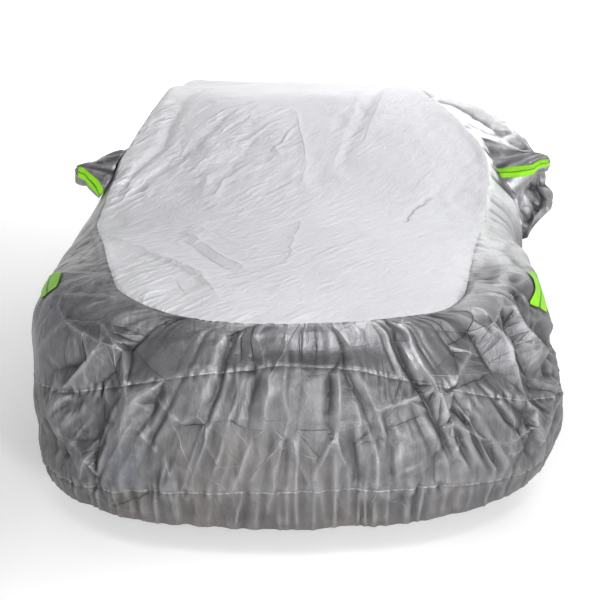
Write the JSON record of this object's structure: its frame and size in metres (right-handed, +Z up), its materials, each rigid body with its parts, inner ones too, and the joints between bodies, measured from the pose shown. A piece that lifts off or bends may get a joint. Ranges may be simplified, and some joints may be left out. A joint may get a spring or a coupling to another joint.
{
  "type": "car cover",
  "caption": "Fitted silver cloth cover for a small saloon car, with gathered hem, mirror pockets and bright green tapes, its right front door cloth drawn over the open door.",
  "frame": {"origin": "on the car's roof, under the middle of the top panel", "axes": "+X to the cover's right side, -Y towards its nose, +Z up"},
  "size_m": [2.1578, 4.4673, 1.2773],
  "materials": {
    "top_cloth": "satin silver coating",
    "upper_cloth": "satin silver coating",
    "lower_cloth": "satin silver coating",
    "hem_cloth": "satin silver coating, gathered",
    "pocket_cloth": "satin silver coating",
    "bright_tape": "matt bright green"
  },
  "bodies": {
    "root": {"fender_tape_left": "bright_tape", "fender_tape_right": "bright_tape", "front_hem": "hem_cloth", "front_lower": "lower_cloth", "front_lower_end": "lower_cloth", "front_upper": "upper_cloth", "left_hem": "hem_cloth", "left_lower": "lower_cloth", "left_upper": "upper_cloth", "mirror_pocket_left": "pocket_cloth", "mirror_pocket_right": "pocket_cloth", "pocket_tape_left": "bright_tape", "pocket_tape_right": "bright_tape", "rear_hem": "hem_cloth", "rear_lower": "lower_cloth", "rear_upper": "upper_cloth", "right_door_cloth": "upper_cloth", "right_rear_hem": "hem_cloth", "right_rear_lower": "lower_cloth", "right_rear_upper": "upper_cloth", "top_panel": "top_cloth"}
  },
  "joints": []
}
